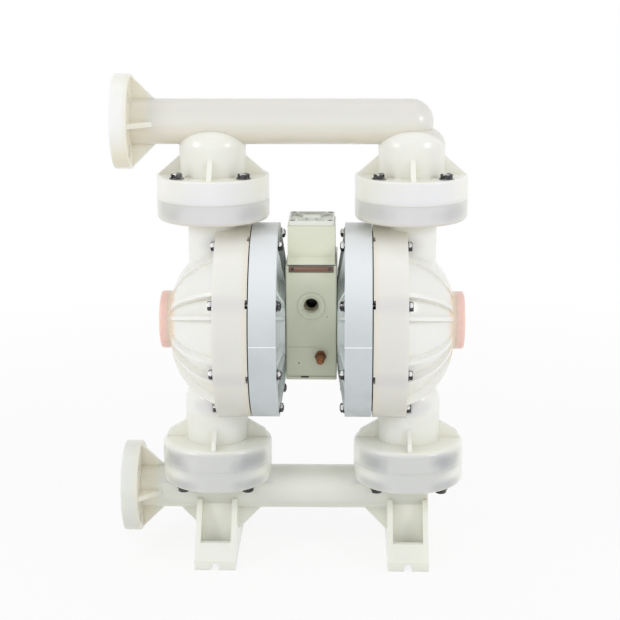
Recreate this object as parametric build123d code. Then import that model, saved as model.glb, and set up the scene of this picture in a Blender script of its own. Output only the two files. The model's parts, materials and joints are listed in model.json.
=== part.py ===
from build123d import *
from math import cos, radians, sin, sqrt
import os

# Air operated double diaphragm pump with 2 inch flanged ports, in bolted moulded plastic.
# Millimetres. X runs from the flanged ends to the closed ends, Y to the rear, Z up.
# The origin lies on the floor, midway between the four anchor slots of the feet.

# ---- driving dimensions: layout ------------------------------------------------------
PORT_X = 161.0            # check valve axes, each side of the pump centre
AXIS_Z = 402.4            # height of the main shaft
SUCTION_JOINT_Z = 163.2   # face between suction manifold and chambers
DISCHARGE_JOINT_Z = 608.1  # face between chambers and discharge manifold
SUCTION_PIPE_Z = 110.0
DISCHARGE_PIPE_Z = 731.4
END_FACE_X = -318.0       # sealing face of both end flanges

# ---- driving dimensions: diaphragm chambers --------------------------------------------
FLANGE_R = 161.0          # both halves of the clamped chamber
AIR_BACK_X = 53.8         # bolt face of the air chamber flange
AIR_FACE_X = 97.4
FLUID_FACE_X = 102.5      # face that clamps the diaphragm
LIP_X = 99.2              # lip round the diaphragm, just off the air chamber
FLUID_BACK_X = 154.3      # bolt face of the fluid chamber flange
BLOCK_HALF_X = 40.8
GASKET_T = 1.0
CLAMP_R = 116.0           # inside edge of the clamped rim
RIM_R = 136.0             # outside edge of the diaphragm
CHAMBER_BOLT_R = 146.5
CHAMBER_BOLT_COUNT = 8
RIB_OFFSET = 7.5          # degrees from each bolt to the ribs beside it
DOME_ROOT_R = 131.0       # dome where it leaves the flange
BOSS_R = 47.5
BOSS_X = 236.0            # end of the moulded boss
CAP_X = 250.0             # end of the boss cap

# ---- driving dimensions: manifolds and check valves ----------------------------------
JOINT_R = 91.5            # flanges round each check valve
MANIFOLD_TOP_T = 38.7     # discharge manifold joint flange
CHAMBER_TOP_T = 34.1      # chamber discharge flange
CHAMBER_LOW_T = 36.0      # chamber suction flange
MANIFOLD_LOW_T = 35.4     # suction manifold joint flange
JOINT_BOLT_R = 75.5
NECK_R = 42.0             # chamber discharge neck
NECK_BORE_R = 30.0
SUCTION_CAGE_R = 52.0
DISCHARGE_CAGE_R = 54.0
CAGE_BORE_R = 44.0
CAGE_CORNER_R = 34.0
PIPE_R = 36.6
PIPE_BORE_R = 29.0
END_FLANGE_R = 76.2       # 2 inch class 150 flange
END_FLANGE_T = 28.0
END_BOLT_R = 60.325
END_HOLE_R = 9.5
BALL_R = 31.75
BALL_GAP = 0.42           # lift that leaves 0.3 mm at the seat
BALL_LIFT = 20.0
SEAT_R = 47.0
SEAT_BELOW = 6.0
SEAT_ABOVE = 8.0
SEAT_BORE_R = 20.0

# ---- driving dimensions: moving group --------------------------------------------------
SHAFT_R = 12.5
PLATE_R = 58.0
INNER_PLATE_X = 83.0
OUTER_PLATE_X = 113.0
PLATE_BOLT_R = 8.0
PLATE_HOLE_R = 8.3        # hole in the diaphragm
PILOT_R = 5.0
PILOT_DROP = 34.0         # pilot rod below the main shaft
PILOT_HALF = 64.5

# ---- driving dimensions: air section ---------------------------------------------------
BLOCK_FRONT_Y = -80.0
BLOCK_REAR_Y = 72.0
BLOCK_LOW_Z = 323.0
BLOCK_TOP_Z = 511.0
INLET_Z = 445.0
INLET_R = 12.6            # 3/4 inch pipe thread
INLET_SINK = 3.2
EXHAUST_Z = 440.0
EXHAUST_R = 16.2          # 1 inch pipe thread
VALVE_HALF_X = 38.0
VALVE_FRONT_Y = -62.0
VALVE_REAR_Y = 26.0
VALVE_TOP_Z = 572.0
VALVE_GASKET_T = 1.5
CAP_T = 8.0
VALVE_Y = -18.0           # axis of the vertical spool bore
SLEEVE_R = 17.0
SPOOL_R = 10.95
SILENCER_X = 15.0
SILENCER_Z = 362.0

# ---- driving dimensions: feet ----------------------------------------------------------
FOOT_X = 160.0
FOOT_HALF_X = 34.0
FOOT_HALF_Y = 107.0
FOOT_PLATE_T = 9.0
TOE_Z = 16.0
TOE_TOP_Z = 40.0
TOE_WALL_T = 10.0
SOLE_T = 10.0
ARCH_Z = 5.5              # springing of the arch over the slot
SLOT_R = 6.5
SLOT_DEPTH = 30.0

os.makedirs("parts", exist_ok=True)


# ---- shared shapes ---------------------------------------------------------------------
def block(x0, x1, y0, y1, z0, z1):
    middle = Pos((x0 + x1) / 2, (y0 + y1) / 2, (z0 + z1) / 2)
    return middle * Box(x1 - x0, y1 - y0, z1 - z0)


def rod_x(radius, x0, x1, y=0.0, z=AXIS_Z):
    return Pos((x0 + x1) / 2, y, z) * Rot(0, 90, 0) * Cylinder(radius, x1 - x0)


def rod_y(radius, y0, y1, x, z):
    return Pos(x, (y0 + y1) / 2, z) * Rot(90, 0, 0) * Cylinder(radius, y1 - y0)


def rod_z(radius, z0, z1, x=0.0, y=0.0):
    return Pos(x, y, (z0 + z1) / 2) * Cylinder(radius, z1 - z0)


def spin_x(outline):
    """Turn a closed (x, radius) outline round the main shaft."""
    return Pos(0, 0, AXIS_Z) * revolve(Plane.XZ * make_face(outline), Axis.X)


def spin_z(outline, x=0.0, y=0.0, z=0.0):
    """Turn a closed (radius, height) outline round a vertical axis."""
    return Pos(x, y, z) * revolve(Plane.XZ * make_face(outline), Axis.Z)


def ring_x(outer, inner, x0, x1, y=0.0, z=AXIS_Z):
    return rod_x(outer, x0, x1, y, z) - rod_x(inner, x0, x1, y, z)


def ring_z(outer, inner, z0, z1, x=0.0, y=0.0):
    return rod_z(outer, z0, z1, x, y) - rod_z(inner, z0, z1, x, y)


def on_circle(radius, count, start):
    """Points (a, b) of a bolt circle, the first at the start angle in degrees."""
    angles = [radians(start + 360.0 * i / count) for i in range(count)]
    return [(radius * cos(a), radius * sin(a)) for a in angles]


def joint_points():
    return on_circle(JOINT_BOLT_R, 4, 45)


def chamber_points():
    return on_circle(CHAMBER_BOLT_R, CHAMBER_BOLT_COUNT, 180.0 / CHAMBER_BOLT_COUNT)


def flange_bolt(shank_r, length, across_flats, head_t, washer_r):
    """Hexagon flange bolt, its seat at z = 0 and its shank pointing down."""
    washer_t = 0.2 * head_t
    head = extrude(RegularPolygon(across_flats / 2, 6, major_radius=False), head_t)
    washer = rod_z(washer_r, 0, washer_t)
    return head + washer + rod_z(shank_r, -length, 0)


def flange_nut(bore_r, across_flats, height, washer_r):
    """Hexagon flange nut that stands on z = 0."""
    body = extrude(RegularPolygon(across_flats / 2, 6, major_radius=False), height)
    body += rod_z(washer_r, 0, 0.2 * height)
    return body - rod_z(bore_r, 0, height)


def copies(shape, places):
    return Compound(children=[place * shape for place in places])


def both_sides(shape):
    return {"right": shape, "left": mirror(shape, Plane.YZ)}


# ---- fluid chamber ---------------------------------------------------------------------
def chamber_skin():
    edge = Polyline((FLUID_FACE_X, 0), (FLUID_FACE_X, RIM_R + 0.5), (LIP_X, RIM_R + 0.5),
                    (LIP_X, FLANGE_R), (FLUID_BACK_X, FLANGE_R), (FLUID_BACK_X, DOME_ROOT_R))
    dome = ThreePointArc((FLUID_BACK_X, DOME_ROOT_R), (209, 89), (231, BOSS_R))
    boss = Polyline((231, BOSS_R), (BOSS_X, BOSS_R), (BOSS_X, 0), (FLUID_FACE_X, 0))
    return spin_x(edge + dome + boss)


def chamber_cavity():
    mouth = Polyline((FLUID_FACE_X, 0), (FLUID_FACE_X, CLAMP_R), (148, 120))
    dome = ThreePointArc((148, 120), (201, 83), (223, 38))
    end = Polyline((223, 38), (223, 0), (FLUID_FACE_X, 0))
    return spin_x(mouth + dome + end)


def chamber_rib(angle, rise):
    """One radial rib between flange and boss; rise is its height over the dome."""
    root = (FLUID_BACK_X - 4, DOME_ROOT_R - 10)
    foot = (FLUID_BACK_X - 4, DOME_ROOT_R + 1.25 * rise)
    shoulder = (FLUID_BACK_X, DOME_ROOT_R + 1.25 * rise)
    middle = (208 + 0.45 * rise, 90 + 0.75 * rise)
    tip = (231.5, BOSS_R + 0.4 * rise)
    crest = ThreePointArc(shoulder, middle, tip)
    sides = Polyline(tip, (232.5, BOSS_R - 6), (215, 66), root, foot, shoulder)
    rib = extrude(Plane.XZ * make_face(crest + sides), 3.25, both=True)
    return Pos(0, 0, AXIS_Z) * Rot(angle, 0, 0) * rib


def rib_angles():
    """Angles of the ribs, two astride each chamber bolt."""
    step = 360.0 / CHAMBER_BOLT_COUNT
    middles = [step * (i + 0.5) for i in range(CHAMBER_BOLT_COUNT)]
    return [middle + offset for middle in middles for offset in (-RIB_OFFSET, RIB_OFFSET)]


def chamber_ribs():
    """Ribs stand each side of every bolt, lower ones deeper, none where the neck is."""
    ribs = []
    for angle in rib_angles():
        elevation = sin(radians(angle))
        if elevation > 0.9:
            continue
        rise = 5.0 if elevation > 0.7 else 12.0
        ribs.append(chamber_rib(angle - 90, rise))
    return ribs


def cage_outline(radius, z_bottom, z_top, corner):
    side = Polyline((0, z_bottom), (radius, z_bottom), (radius, z_top - corner))
    bend = corner * (1 - sqrt(0.5))
    dome = ThreePointArc((radius, z_top - corner), (radius - bend, z_top - bend),
                         (radius - corner, z_top))
    return side + dome + Polyline((radius - corner, z_top), (0, z_top), (0, z_bottom))


def cage_fins(seat_z, bore_r):
    """Four fins that guide the ball and stop it at the top of its lift."""
    top = seat_z + BALL_LIFT + 45.2
    outline = Polyline((bore_r + 1, seat_z), (BALL_R + 1, seat_z), (BALL_R + 1, top),
                       (16, top), (16, top + 9), (bore_r + 1, top + 9),
                       (bore_r + 1, seat_z))
    fin = extrude(Plane.XZ * make_face(outline), 2.5, both=True)
    return [Rot(0, 0, 90 * i) * fin for i in range(4)]


def gussets(inner_r, outer_r, z_face, height, thickness, end_height=1.0):
    """Four upright webs between a neck and its flange, end_height tall at the outer end."""
    outline = Polyline((inner_r - 3, z_face - 1), (outer_r, z_face - 1),
                       (outer_r - 0.45 * end_height, z_face + end_height),
                       (inner_r, z_face + height), (inner_r - 3, z_face + height),
                       (inner_r - 3, z_face - 1))
    web = extrude(Plane.XZ * make_face(outline), thickness / 2, both=True)
    return [Rot(0, 0, 90 * i) * web for i in range(4)]


def joint_flange(z0, z1, soft_edge, radius=4.0, fine=0.6):
    """Disc of a check valve joint; soft_edge is 1 for a rounder top rim, -1 for bottom."""
    disc = rod_z(JOINT_R, z0, z1)
    rims = disc.edges().filter_by(GeomType.CIRCLE).sort_by(Axis.Z)
    disc = fillet(rims[-1] if soft_edge > 0 else rims[0], radius)
    rims = disc.edges().filter_by(GeomType.CIRCLE).sort_by(Axis.Z)
    return chamfer(rims[0] if soft_edge > 0 else rims[-1], fine)


def fluid_chamber():
    low_z = SUCTION_JOINT_Z
    top_z = DISCHARGE_JOINT_Z
    here = Pos(PORT_X, 0, 0)
    seat_top = low_z + SEAT_ABOVE
    shell = chamber_skin()
    for rib in chamber_ribs():
        shell += rib
    shell += rod_z(NECK_R, AXIS_Z + 60, top_z - CHAMBER_TOP_T + 1, PORT_X)
    shell += here * joint_flange(top_z - CHAMBER_TOP_T, top_z, -1, 8.0)
    shell += spin_z(cage_outline(SUCTION_CAGE_R, low_z + 20, 299, CAGE_CORNER_R), PORT_X)
    shell += here * joint_flange(low_z, low_z + CHAMBER_LOW_T, 1, 8.0)
    for web in gussets(SUCTION_CAGE_R, 86.5, low_z + CHAMBER_LOW_T, 30, 7, 13):
        shell += here * web
    shell -= chamber_cavity()
    shell -= rod_z(NECK_BORE_R, AXIS_Z + 60, top_z, PORT_X)
    shell -= rod_z(SEAT_R, top_z - SEAT_BELOW, top_z, PORT_X)
    shell -= rod_z(SEAT_R, low_z, seat_top, PORT_X)
    shell -= rod_z(CAGE_BORE_R, seat_top, low_z + 84, PORT_X)
    shell -= rod_z(34, low_z + 84, 310, PORT_X)
    for fin in cage_fins(seat_top, CAGE_BORE_R):
        shell += here * fin
    for x, y in joint_points():
        shell -= rod_z(10, top_z - 24, top_z, PORT_X + x, y)
        shell -= rod_z(10, low_z, low_z + 24, PORT_X + x, y)
    for y, z in chamber_points():
        shell -= rod_x(5.25, LIP_X, FLUID_BACK_X, y, AXIS_Z + z)
        shell -= rod_x(11.5, FLUID_BACK_X, FLUID_BACK_X + 9.5, y, AXIS_Z + z)
    for notch in lip_notches():
        shell -= notch
    shell -= rod_x(32, BOSS_X - 7, BOSS_X)
    return shell


def lip_notches():
    """Openings in the lip, one at each bolt, down to the bolt's shank."""
    notch = block(LIP_X, FLUID_FACE_X, -7, 7, CHAMBER_BOLT_R + 2, FLANGE_R)
    step = 360.0 / CHAMBER_BOLT_COUNT
    turns = [step * (i + 0.5) for i in range(CHAMBER_BOLT_COUNT)]
    return [Pos(0, 0, AXIS_Z) * Rot(turn, 0, 0) * notch for turn in turns]


def boss_cap():
    cap = rod_x(BOSS_R, BOSS_X, CAP_X)
    cap = fillet(cap.edges().filter_by(GeomType.CIRCLE).sort_by(Axis.X)[-1], 4.0)
    return cap + rod_x(32, BOSS_X - 7, BOSS_X)


# ---- air chamber -----------------------------------------------------------------------
def air_chamber():
    start = BLOCK_HALF_X + GASKET_T
    shell = spin_x(Polyline((start, 0), (start, 84), (start + 9, 90), (AIR_BACK_X + 9, 130),
                            (AIR_BACK_X, 136), (AIR_BACK_X, FLANGE_R),
                            (AIR_FACE_X, FLANGE_R), (AIR_FACE_X, 0), (start, 0)))
    web = Polyline((start, 78), (start, 84), (AIR_BACK_X, 157), (AIR_BACK_X + 14, 157),
                   (AIR_BACK_X + 4, 84), (start, 78))
    rib = extrude(Plane.XZ * make_face(web), 2.75, both=True)
    for angle in rib_angles():
        shell += Pos(0, 0, AXIS_Z) * Rot(angle - 90, 0, 0) * rib
    shell -= spin_x(Polyline((63, 0), (63, 70), (82, 105), (AIR_FACE_X, CLAMP_R),
                             (AIR_FACE_X, 0), (63, 0)))
    shell -= rod_x(SHAFT_R + 1, start, 63)
    shell -= rod_x(18, start, start + 7)
    shell -= rod_x(PILOT_R + 1, start, 63, 0, AXIS_Z - PILOT_DROP)
    for y, z in chamber_points():
        shell -= rod_x(5.25, AIR_BACK_X, AIR_FACE_X, y, AXIS_Z + z)
    for y, z in block_bolt_points():
        shell -= rod_x(4.25, start, 63, y, z)
    return shell


def block_bolt_points():
    return [(y, AXIS_Z + z) for y, z in on_circle(58, 4, 45)]


def block_gasket():
    end = BLOCK_HALF_X + GASKET_T
    sheet = ring_x(72, 20, BLOCK_HALF_X, end)
    sheet -= rod_x(PILOT_R + 3, BLOCK_HALF_X, end, 0, AXIS_Z - PILOT_DROP)
    for y, z in block_bolt_points():
        sheet -= rod_x(4.25, BLOCK_HALF_X, end, y, z)
    return sheet


# ---- diaphragm and its plates ----------------------------------------------------------
def diaphragm():
    face = AIR_FACE_X
    back = FLUID_FACE_X
    outer = Polyline((face, RIM_R), (face, CLAMP_R - 3))
    fold = ThreePointArc((face, CLAMP_R - 3), (face - 9, 86), (face, PLATE_R + 2))
    centre = Polyline((face, PLATE_R + 2), (face, PLATE_HOLE_R), (back, PLATE_HOLE_R),
                      (back, PLATE_R + 4))
    inside = ThreePointArc((back, PLATE_R + 4), (back - 9, 86), (back, CLAMP_R - 5))
    rim = Polyline((back, CLAMP_R - 5), (back, RIM_R), (face, RIM_R))
    return spin_x(outer + fold + centre + inside + rim)


def inner_plate():
    outline = Polyline((INNER_PLATE_X, PLATE_BOLT_R), (INNER_PLATE_X, 30), (91, PLATE_R - 3),
                       (94, PLATE_R), (AIR_FACE_X, PLATE_R), (AIR_FACE_X, PLATE_BOLT_R),
                       (INNER_PLATE_X, PLATE_BOLT_R))
    return spin_x(outline)


def outer_plate():
    outline = Polyline((FLUID_FACE_X, PLATE_BOLT_R), (FLUID_FACE_X, PLATE_R), (105, PLATE_R),
                       (108, PLATE_R - 3), (OUTER_PLATE_X, 24), (OUTER_PLATE_X, PLATE_BOLT_R),
                       (FLUID_FACE_X, PLATE_BOLT_R))
    return spin_x(outline)


def plate_bolt():
    bolt = flange_bolt(PLATE_BOLT_R, OUTER_PLATE_X - 62, 24, 10, 16)
    return Pos(OUTER_PLATE_X, 0, AXIS_Z) * Rot(0, 90, 0) * bolt


def main_shaft():
    shaft = rod_x(SHAFT_R, -INNER_PLATE_X, INNER_PLATE_X)
    shaft = chamfer(shaft.edges().filter_by(GeomType.CIRCLE), 1.0)
    for side in (-1, 1):
        ends = sorted((side * 62, side * INNER_PLATE_X))
        shaft -= rod_x(PLATE_BOLT_R, ends[0], ends[1])
    return shaft


# ---- air section -----------------------------------------------------------------------
def centre_block():
    body = block(-BLOCK_HALF_X, BLOCK_HALF_X, BLOCK_FRONT_Y, BLOCK_REAR_Y,
                 BLOCK_LOW_Z, BLOCK_TOP_Z)
    body = fillet(body.edges().filter_by(Axis.Z), 2.5)
    body += rod_y(22, BLOCK_FRONT_Y - 1.2, BLOCK_FRONT_Y, 0, INLET_Z)
    body += block(-BLOCK_HALF_X + 1, BLOCK_HALF_X - 1, BLOCK_FRONT_Y - 2, BLOCK_FRONT_Y + 3,
                  BLOCK_LOW_Z, BLOCK_LOW_Z + 4.5)
    body += rod_y(24, BLOCK_REAR_Y, BLOCK_REAR_Y + 3, 0, EXHAUST_Z)
    pilot_z = AXIS_Z - PILOT_DROP
    body -= rod_x(SHAFT_R + 1, -BLOCK_HALF_X, BLOCK_HALF_X)
    body -= rod_x(PILOT_R + 1, -BLOCK_HALF_X, BLOCK_HALF_X, 0, pilot_z)
    for side in (-1, 1):
        bush = sorted((side * (BLOCK_HALF_X - 18), side * BLOCK_HALF_X))
        guide = sorted((side * (BLOCK_HALF_X - 12), side * BLOCK_HALF_X))
        body -= rod_x(18, bush[0], bush[1])
        body -= rod_x(PILOT_R + 3, guide[0], guide[1], 0, pilot_z)
    for y, z in block_bolt_points():
        body -= rod_x(4, -BLOCK_HALF_X, -BLOCK_HALF_X + 20, y, z)
        body -= rod_x(4, BLOCK_HALF_X - 20, BLOCK_HALF_X, y, z)
    body -= inlet_passage()
    body -= rod_y(EXHAUST_R, BLOCK_REAR_Y - 27, BLOCK_REAR_Y + 3, 0, EXHAUST_Z)
    body -= rod_y(11, 16, BLOCK_REAR_Y - 27, 0, EXHAUST_Z)
    body -= rod_z(7, EXHAUST_Z, BLOCK_TOP_Z, 0, 16)
    body -= rod_y(6.4, BLOCK_FRONT_Y, BLOCK_FRONT_Y + 16, SILENCER_X, SILENCER_Z)
    for x, y in valve_screw_points():
        body -= rod_z(3, BLOCK_TOP_Z - 16, BLOCK_TOP_Z, x, y)
    for x in (-30, 30):
        body -= rod_y(1.6, BLOCK_FRONT_Y, BLOCK_FRONT_Y + 5, x, 505.5)
    return body


def inlet_passage():
    mouth = BLOCK_FRONT_Y - 1.2
    bore = rod_y(INLET_R, mouth, mouth + 24, 0, INLET_Z)
    sink = Cone(INLET_R, INLET_R + 1.4 * INLET_SINK, INLET_SINK)
    sink = Pos(0, mouth + INLET_SINK / 2, INLET_Z) * Rot(90, 0, 0) * sink
    way = rod_y(8.8, mouth + 23, -24, 0, INLET_Z)
    riser = rod_z(7, INLET_Z, BLOCK_TOP_Z, 0, -38)
    return bore + sink + way + riser


def valve_screw_points():
    return [(x, y) for x in (-30.0, 30.0) for y in (VALVE_FRONT_Y + 9, VALVE_REAR_Y - 9)]


def valve_body():
    low = BLOCK_TOP_Z + VALVE_GASKET_T
    side = Polyline((BLOCK_FRONT_Y, low), (BLOCK_FRONT_Y, low + 1.5), (VALVE_FRONT_Y, low + 10.5),
                    (VALVE_FRONT_Y, VALVE_TOP_Z), (VALVE_REAR_Y, VALVE_TOP_Z),
                    (VALVE_REAR_Y, low), (BLOCK_FRONT_Y, low))
    body = extrude(Plane.YZ * make_face(side), VALVE_HALF_X, both=True)
    body -= rod_z(SLEEVE_R, low, VALVE_TOP_Z, 0, VALVE_Y)
    for x, y in valve_screw_points():
        body -= rod_z(3.25, low, VALVE_TOP_Z, x, y)
    return body


def valve_gasket():
    low = BLOCK_TOP_Z
    top = low + VALVE_GASKET_T
    sheet = block(-VALVE_HALF_X, VALVE_HALF_X, BLOCK_FRONT_Y + 1, VALVE_REAR_Y, low, top)
    for y in (-38, 16):
        sheet -= rod_z(7, low, top, 0, y)
    for x, y in valve_screw_points():
        sheet -= rod_z(3.25, low, top, x, y)
    return sheet


def valve_cap():
    top = VALVE_TOP_Z + CAP_T
    half = VALVE_HALF_X - 1.5
    front = VALVE_FRONT_Y + 1.5
    rear = VALVE_REAR_Y - 1.5
    cap = block(-half, half, front, rear, VALVE_TOP_Z, top)
    cap = fillet(cap.edges().filter_by(Axis.Z), 6.0)
    well = block(-half + 3, half - 3, front + 3, rear - 3, top - 4, top)
    middle = Pos(0, (front + rear) / 2, top - 2)
    for turn in (-1, 1):
        well -= middle * Rot(0, 0, turn * 49) * Box(120, 3, 4)
    well -= rod_z(15, top - 4, top, 0, (front + rear) / 2)
    for x, y in valve_screw_points():
        well -= rod_z(8.5, top - 4, top, x, y)
    cap -= well
    for x, y in valve_screw_points():
        cap -= rod_z(3.25, VALVE_TOP_Z, top, x, y)
        cap -= rod_z(5.6, top - 5, top, x, y)
    return cap


def valve_screw():
    seat = VALVE_TOP_Z + CAP_T - 5
    screw = rod_z(5, seat, seat + 4.5) - extrude(Pos(0, 0, seat + 2) * RegularPolygon(2.5, 6), 3)
    return screw + rod_z(3, BLOCK_TOP_Z - 15, seat)


def valve_sleeve():
    low = BLOCK_TOP_Z + VALVE_GASKET_T
    sleeve = ring_z(SLEEVE_R, SPOOL_R + 0.05, low, VALVE_TOP_Z, 0, VALVE_Y)
    for z in (low + 14, low + 30, low + 46):
        for turn in (0, 90):
            slot = Pos(0, VALVE_Y, z) * Rot(0, 0, turn) * Box(2 * SLEEVE_R + 2, 8, 5)
            sleeve -= slot
    return sleeve


def valve_spool():
    low = BLOCK_TOP_Z + VALVE_GASKET_T + 0.5
    spool = rod_z(SPOOL_R, low, low + 44, 0, VALVE_Y)
    for z in (low + 9, low + 27):
        spool -= ring_z(SPOOL_R + 1, 6.5, z, z + 8, 0, VALVE_Y)
    return spool


def silencer():
    """Sintered vent silencer screwed into the front of the block."""
    face = BLOCK_FRONT_Y
    stem = rod_y(6.4, face, face + 14, SILENCER_X, SILENCER_Z)
    hexagon = extrude(RegularPolygon(8.2, 6, major_radius=False), 8)
    collar = Pos(SILENCER_X, face, SILENCER_Z) * Rot(90, 0, 0) * hexagon
    nose = rod_y(6.4, face - 32, face - 8, SILENCER_X, SILENCER_Z)
    nose = fillet(nose.edges().filter_by(GeomType.CIRCLE).sort_by(Axis.Y)[0], 3.0)
    return stem + collar + nose


def name_plate():
    face = BLOCK_FRONT_Y
    plate = block(-35.5, 35.5, face - 1.2, face, 500.5, 510.5)
    for x in (-30, 30):
        plate -= rod_y(1.6, face - 1.2, face, x, 505.5)
    return plate


def plate_pin():
    face = BLOCK_FRONT_Y - 1.2
    return rod_y(1.6, face, face + 6, 0, 505.5) + rod_y(2.6, face - 1, face, 0, 505.5)


# ---- manifolds -------------------------------------------------------------------------
def end_flange(z):
    """Flange at the open end of a pipe, with four gussets along the pipe."""
    back = END_FACE_X + END_FLANGE_T
    disc = rod_x(END_FLANGE_R, END_FACE_X, back, 0, z)
    rims = disc.edges().filter_by(GeomType.CIRCLE)
    disc = chamfer(rims, 1.5)
    outline = Polyline((back - 2, PIPE_R - 4), (back - 2, END_FLANGE_R - 3),
                       (back, END_FLANGE_R - 3), (back + 37, PIPE_R),
                       (back + 37, PIPE_R - 4), (back - 2, PIPE_R - 4))
    web = extrude(Plane.XZ * make_face(outline), 4, both=True)
    for turn in range(4):
        disc += Pos(0, 0, z) * Rot(90 * turn, 0, 0) * web
    return disc


def end_holes(z):
    back = END_FACE_X + END_FLANGE_T
    points = on_circle(END_BOLT_R, 4, 45)
    return [rod_x(END_HOLE_R, END_FACE_X, back, y, z + height) for y, height in points]


def discharge_manifold():
    z = DISCHARGE_PIPE_Z
    face = DISCHARGE_JOINT_Z
    top = face + MANIFOLD_TOP_T
    body = rod_x(PIPE_R, END_FACE_X, PORT_X - 2, 0, z)
    body += Pos(PORT_X - 2, 0, z) * Sphere(PIPE_R)
    body += end_flange(z)
    void = rod_x(PIPE_BORE_R, END_FACE_X, PORT_X - 2, 0, z)
    void += Pos(PORT_X - 2, 0, z) * Sphere(PIPE_BORE_R)
    fins = []
    for x in (-PORT_X, PORT_X):
        here = Pos(x, 0, 0)
        body += spin_z(cage_outline(DISCHARGE_CAGE_R, face + 20, z - 9.4, 30), x)
        body += here * joint_flange(face, top, 1, 3.0)
        for web in gussets(DISCHARGE_CAGE_R, 88, top, 30, 8):
            body += here * web
        void += spin_z(cage_outline(CAGE_BORE_R, face + SEAT_ABOVE, z - 19.0, 22), x)
        void += rod_z(SEAT_R, face, face + SEAT_ABOVE, x)
        fins += [here * fin for fin in cage_fins(face + SEAT_ABOVE, CAGE_BORE_R)]
    body -= void
    for fin in fins:
        body += fin
    for x in (-PORT_X, PORT_X):
        for dx, dy in joint_points():
            body -= rod_z(6.5, face, top, x + dx, dy)
    for hole in end_holes(z):
        body -= hole
    return body


def foot():
    """Splayed foot: two side plates, arched toe walls, open pockets and slotted base."""
    pipe_z = SUCTION_PIPE_Z
    profile = Polyline((-FOOT_HALF_Y, 0), (-FOOT_HALF_Y, TOE_Z), (-40, pipe_z - 10),
                       (40, pipe_z - 10), (FOOT_HALF_Y, TOE_Z), (FOOT_HALF_Y, 0),
                       (-FOOT_HALF_Y, 0))
    plate = extrude(Plane.YZ * make_face(profile), FOOT_PLATE_T / 2, both=True)
    edge = FOOT_HALF_X - FOOT_PLATE_T / 2
    body = Pos(-edge, 0, 0) * plate + Pos(edge, 0, 0) * plate
    lean = (pipe_z - 10 - TOE_Z) / (FOOT_HALF_Y - 40)
    toe_top_y = -FOOT_HALF_Y + (TOE_TOP_Z - TOE_Z) / lean
    toe = Polyline((-FOOT_HALF_Y, 0), (-FOOT_HALF_Y, TOE_Z), (toe_top_y, TOE_TOP_Z),
                   (toe_top_y + TOE_WALL_T, TOE_TOP_Z), (-FOOT_HALF_Y + TOE_WALL_T, TOE_Z),
                   (-FOOT_HALF_Y + TOE_WALL_T, 0), (-FOOT_HALF_Y, 0))
    panel = Polyline((-60, SOLE_T - 1), (-28, pipe_z - 14), (-16, pipe_z - 14),
                     (-46, SOLE_T - 1), (-60, SOLE_T - 1))
    for outline in (toe, panel):
        front = extrude(Plane.YZ * make_face(outline), edge + 1, both=True)
        body += front
        body += mirror(front, Plane.XZ)
    reach = FOOT_HALF_Y - TOE_WALL_T + 1
    body += block(-edge - 1, edge + 1, -reach, reach, 0, SOLE_T)
    for side in (-1, 1):
        end = side * (FOOT_HALF_Y - SLOT_DEPTH + SLOT_R)
        inner = side * (FOOT_HALF_Y - TOE_WALL_T)
        slot = sorted((end, inner))
        wall = sorted((inner, side * (FOOT_HALF_Y + 1)))
        body -= rod_z(SLOT_R, 0, SOLE_T, 0, end)
        body -= block(-SLOT_R, SLOT_R, slot[0], slot[1], 0, SOLE_T)
        body -= block(-SLOT_R, SLOT_R, wall[0], wall[1], 0, ARCH_Z)
        body -= rod_y(SLOT_R, wall[0], wall[1], 0, ARCH_Z)
    return body


def foot_gusset(reach, drop):
    """Upright web under the pipe beside a foot; reach is its signed length along X."""
    edge = FOOT_HALF_X - 1 if reach > 0 else -FOOT_HALF_X + 1
    low = SUCTION_PIPE_Z - PIPE_R
    outline = Polyline((edge, low + 6), (edge + reach, low + 6), (edge + reach, low),
                       (edge, low - drop), (edge, low + 6))
    return extrude(Plane.XZ * make_face(outline), 4.5, both=True)


def suction_manifold():
    z = SUCTION_PIPE_Z
    face = SUCTION_JOINT_Z
    low = face - MANIFOLD_LOW_T
    end = FOOT_X + FOOT_HALF_X
    body = rod_x(PIPE_R, END_FACE_X, end, 0, z)
    body += end_flange(z)
    stand = foot()
    void = rod_x(PIPE_BORE_R, END_FACE_X, end - 12, 0, z)
    for side in (-1, 1):
        body += Pos(side * FOOT_X, 0, 0) * stand
        body += Pos(side * FOOT_X, 0, 0) * foot_gusset(-side * 39, 41)
        body += Pos(side * PORT_X, 0, 0) * joint_flange(low, face, -1, 6.0)
        void += rod_z(NECK_BORE_R, z, face, side * PORT_X)
        void += rod_z(SEAT_R, face - SEAT_BELOW, face, side * PORT_X)
    body += Pos(-FOOT_X, 0, 0) * foot_gusset(-32, 34)
    body -= void
    for side in (-1, 1):
        for dx, dy in joint_points():
            body -= rod_z(6.5, low, face, side * PORT_X + dx, dy)
    for hole in end_holes(z):
        body -= hole
    return body


# ---- check valves ----------------------------------------------------------------------
def seat(x, face):
    low = face - SEAT_BELOW
    top = face + SEAT_ABOVE
    outline = Polyline((SEAT_BORE_R, low), (SEAT_R, low), (SEAT_R, top), (SEAT_BORE_R + 8, top),
                       (SEAT_BORE_R, top - 8), (SEAT_BORE_R, low))
    ring = spin_z(outline, x)
    return ring - ring_z(40, 36, low, low + 3.8, x)


def seat_ring(x, face):
    return Pos(x, 0, face - SEAT_BELOW + 1.9) * Torus(38, 1.9)


def ball(x, face):
    contact = BALL_R * sqrt(0.5)
    height = face + SEAT_ABOVE - 8 + (contact - SEAT_BORE_R) + contact + BALL_GAP
    return Pos(x, 0, height) * Sphere(BALL_R)


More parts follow.
